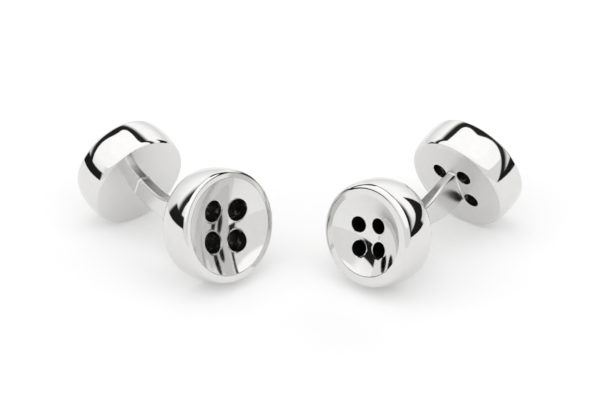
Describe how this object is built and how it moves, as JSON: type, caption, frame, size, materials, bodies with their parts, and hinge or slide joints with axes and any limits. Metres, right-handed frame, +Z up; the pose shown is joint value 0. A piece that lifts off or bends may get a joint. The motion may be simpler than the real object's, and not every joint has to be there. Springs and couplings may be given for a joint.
{
  "type": "cufflinks",
  "caption": "Rigid double-ended cufflinks in polished silver: a large and a small dished button head, each with sewing-style holes, on a thick arched bar.",
  "frame": {"origin": "on the table, under the middle of the box round both cufflinks as they lie", "axes": "+X along the pair from the left cufflink to the right one, +Y away from the viewer, +Z up from the table"},
  "size_m": [0.051, 0.0246, 0.0131],
  "materials": {
    "front_silver": "sterling silver, mirror polished on the dish, rim and side, satin on the inner face, oxidised black in the holes",
    "bar_silver": "sterling silver, polished",
    "back_silver": "sterling silver, mirror polished all over, oxidised black in the blind holes"
  },
  "bodies": {
    "left_cufflink": {"left_front_button": "front_silver", "left_bar": "bar_silver", "left_back_button": "back_silver"},
    "right_cufflink": {"right_front_button": "front_silver", "right_bar": "bar_silver", "right_back_button": "back_silver"}
  },
  "joints": [
    {"name": "right_lift", "type": "slide", "parent": "left_cufflink", "child": "right_cufflink", "axis": [0, 0, 1], "range_m": [0, 0.03]}
  ]
}
